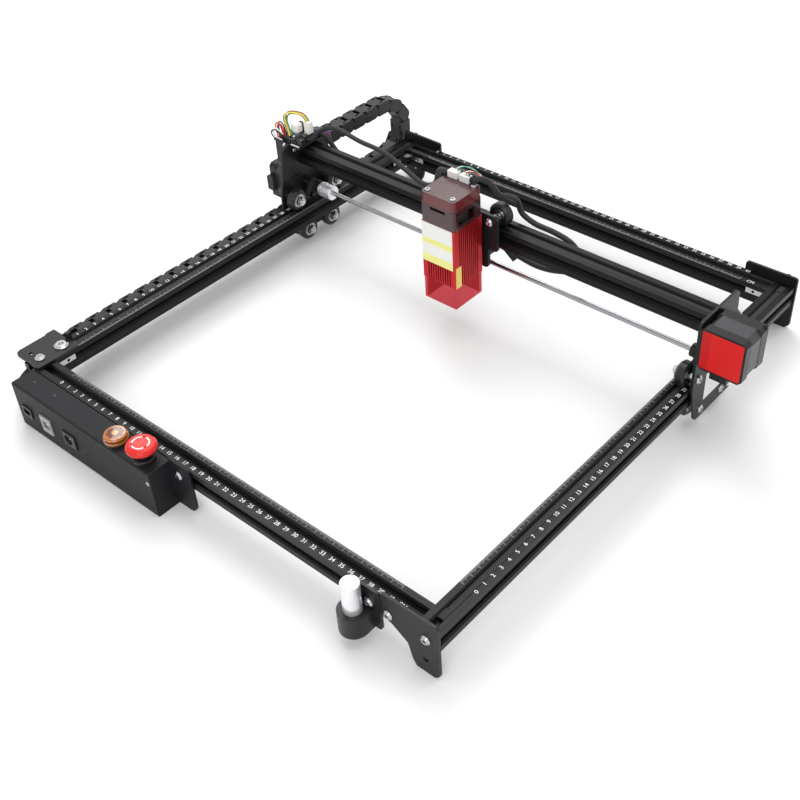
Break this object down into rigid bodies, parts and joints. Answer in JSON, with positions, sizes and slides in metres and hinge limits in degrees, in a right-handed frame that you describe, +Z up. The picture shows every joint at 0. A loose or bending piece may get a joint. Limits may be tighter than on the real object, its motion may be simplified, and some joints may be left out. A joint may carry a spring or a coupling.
{
  "type": "desktop laser cutter",
  "caption": "Open-frame desktop laser cutter: slotted-rail frame, belt-driven gantry on V-wheels, finned laser module, cable chain and side control box.",
  "frame": {"origin": "centre of the footprint, on the table", "axes": "+X to the right along the front rail, +Y to the rear, +Z up"},
  "size_m": [0.5868, 0.5756, 0.173],
  "materials": {
    "black_profile": "black anodised, satin",
    "black_steel": "black powder coat",
    "zinc_steel": "zinc plated",
    "bright_shaft": "ground and polished",
    "belt_rubber": "matt",
    "black_plastic": "fine texture",
    "white_plastic": "smooth",
    "amber_plastic": "translucent",
    "red_plastic": "gloss",
    "motor_case": "black caps and laminated middle",
    "circuit_board": "solder mask",
    "red_fins": "red anodised",
    "red_clear": "translucent",
    "cable_jacket": "matt",
    "coupling_metal": "machined"
  },
  "bodies": {
    "frame": {"front_rail": "black_profile", "rear_rail": "black_profile", "left_rail": "black_profile", "right_rail": "black_profile", "front_right_foot_plate": "black_steel", "rear_right_foot_plate": "black_steel", "rear_left_foot_plate": "black_steel", "front_left_corner_plate": "black_steel", "corner_brackets": "zinc_steel", "frame_screws": "zinc_steel", "rear_bumpers": "belt_rubber", "y_belts": "belt_rubber", "control_box": "black_steel", "ports": "black_plastic", "button_collars": "black_plastic", "gauge_holder": "black_plastic", "chain_lower_run": "black_plastic", "chain_lower_end": "black_plastic", "box_cable": "cable_jacket"},
    "start_button": {"amber_button": "amber_plastic"},
    "stop_stem": {"stop_stem": "black_plastic"},
    "stop_cap": {"stop_cap": "red_plastic"},
    "gauge": {"focus_gauge": "white_plastic"},
    "chain_loop": {"chain_bend": "black_plastic"},
    "gantry": {"gantry_beam": "black_profile", "left_end_plate": "black_steel", "right_end_plate": "black_steel", "x_motor": "motor_case", "y_motor": "motor_case", "x_belt": "belt_rubber", "idler_housing": "black_steel", "adapter_board": "circuit_board", "gantry_bolts": "zinc_steel", "chain_upper_root": "black_plastic", "chain_upper_run": "black_plastic", "belt_loops": "belt_rubber", "head_cable": "cable_jacket", "slack_cable": "cable_jacket"},
    "drive": {"drive_shaft": "bright_shaft", "shaft_coupling": "coupling_metal", "y_pulleys": "coupling_metal"},
    "x_drive": {"x_drive_pulley": "coupling_metal"},
    "x_idler": {"x_idler_pulley": "coupling_metal"},
    "wheels_a": {"front_upper_wheels": "black_plastic"},
    "wheels_b": {"rear_upper_wheels": "black_plastic"},
    "wheels_c": {"front_lower_wheels": "black_plastic"},
    "wheels_d": {"rear_lower_wheels": "black_plastic"},
    "carriage": {"carriage_plate": "black_steel", "carriage_axles": "zinc_steel", "belt_clamp": "black_plastic", "laser_mount": "black_profile"},
    "wheel_left": {"left_top_wheel": "black_plastic"},
    "wheel_right": {"right_top_wheel": "black_plastic"},
    "wheel_under": {"under_wheel": "black_plastic"},
    "laser": {"laser_heatsink": "red_fins", "laser_cap": "black_plastic", "laser_cover": "red_clear", "laser_shield": "red_clear", "laser_board": "circuit_board"}
  },
  "joints": [
    {"name": "gantry_slide", "type": "slide", "parent": "frame", "child": "gantry", "axis": [0, 1, 0], "range_m": [-0.283, 0.117], "deforming": ["chain_upper_run", "chain_lower_end"]},
    {"name": "carriage_slide", "type": "slide", "parent": "gantry", "child": "carriage", "axis": [1, 0, 0], "range_m": [-0.191, 0.209], "deforming": ["head_cable", "slack_cable"]},
    {"name": "laser_height", "type": "slide", "parent": "carriage", "child": "laser", "axis": [0, 0, 1], "range_m": [-0.03, 0.015]},
    {"name": "drive_turn", "type": "hinge", "parent": "gantry", "child": "drive", "pos_m": [-0.00532, 0.11371, 0.0645], "axis": [1, 0, 0], "range_deg": [-2549, 1055]},
    {"name": "wheels_a_turn", "type": "hinge", "parent": "gantry", "child": "wheels_a", "pos_m": [-0.00532, 0.08501, 0.0604], "axis": [1, 0, 0], "range_deg": [-646, 1561]},
    {"name": "wheels_b_turn", "type": "hinge", "parent": "gantry", "child": "wheels_b", "pos_m": [-0.00532, 0.14241, 0.0604], "axis": [1, 0, 0], "range_deg": [-646, 1561]},
    {"name": "wheels_c_turn", "type": "hinge", "parent": "gantry", "child": "wheels_c", "pos_m": [-0.00532, 0.09571, 0.0196], "axis": [1, 0, 0], "range_deg": [-1561, 646]},
    {"name": "wheels_d_turn", "type": "hinge", "parent": "gantry", "child": "wheels_d", "pos_m": [-0.00532, 0.13171, 0.0196], "axis": [1, 0, 0], "range_deg": [-1561, 646]},
    {"name": "x_drive_turn", "type": "hinge", "parent": "gantry", "child": "x_drive", "pos_m": [0.27222, 0.11371, 0.104], "axis": [0, 1, 0], "range_deg": [-1883, 1721]},
    {"name": "x_idler_turn", "type": "hinge", "parent": "gantry", "child": "x_idler", "pos_m": [-0.26987, 0.11371, 0.104], "axis": [0, 1, 0], "range_deg": [-1883, 1721]},
    {"name": "wheel_left_turn", "type": "hinge", "parent": "carriage", "child": "wheel_left", "pos_m": [-0.03687, 0.11371, 0.1244], "axis": [0, 1, 0], "range_deg": [-1054, 1153]},
    {"name": "wheel_right_turn", "type": "hinge", "parent": "carriage", "child": "wheel_right", "pos_m": [0.01112, 0.11371, 0.1244], "axis": [0, 1, 0], "range_deg": [-1054, 1153]},
    {"name": "wheel_under_turn", "type": "hinge", "parent": "carriage", "child": "wheel_under", "pos_m": [-0.01287, 0.11371, 0.0836], "axis": [0, 1, 0], "range_deg": [-1153, 1054]},
    {"name": "chain_roll", "type": "slide", "parent": "frame", "child": "chain_loop", "axis": [0, 1, 0], "range_m": [-0.142, 0.059]},
    {"name": "start_press", "type": "slide", "parent": "frame", "child": "start_button", "axis": [0, 0, 1], "range_m": [-0.003, 0], "stiffness_N_per_m": 250, "springref_m": 0.002},
    {"name": "stop_press", "type": "slide", "parent": "frame", "child": "stop_stem", "axis": [0, 0, 1], "range_m": [-0.006, 0]},
    {"name": "stop_twist", "type": "hinge", "parent": "stop_stem", "child": "stop_cap", "pos_m": [-0.06488, -0.27429, 0.06], "axis": [0, 0, 1], "range_deg": [0, 45], "stiffness_Nm_per_rad": 0.02, "springref_deg": -11.46},
    {"name": "gauge_lift", "type": "slide", "parent": "frame", "child": "gauge", "axis": [0, 0, 1], "range_m": [0, 0.03]}
  ],
  "couplings": [
    {"joint": "drive_turn", "follows": "gantry_slide", "rad_per_m": 157.08},
    {"joint": "wheels_a_turn", "follows": "gantry_slide", "rad_per_m": -96.154},
    {"joint": "wheels_b_turn", "follows": "gantry_slide", "rad_per_m": -96.154},
    {"joint": "wheels_c_turn", "follows": "gantry_slide", "rad_per_m": 96.154},
    {"joint": "wheels_d_turn", "follows": "gantry_slide", "rad_per_m": 96.154},
    {"joint": "x_drive_turn", "follows": "carriage_slide", "rad_per_m": -157.08},
    {"joint": "x_idler_turn", "follows": "carriage_slide", "rad_per_m": -157.08},
    {"joint": "wheel_left_turn", "follows": "carriage_slide", "rad_per_m": 96.154},
    {"joint": "wheel_right_turn", "follows": "carriage_slide", "rad_per_m": 96.154},
    {"joint": "wheel_under_turn", "follows": "carriage_slide", "rad_per_m": -96.154},
    {"joint": "chain_roll", "follows": "gantry_slide", "ratio": 0.5}
  ]
}
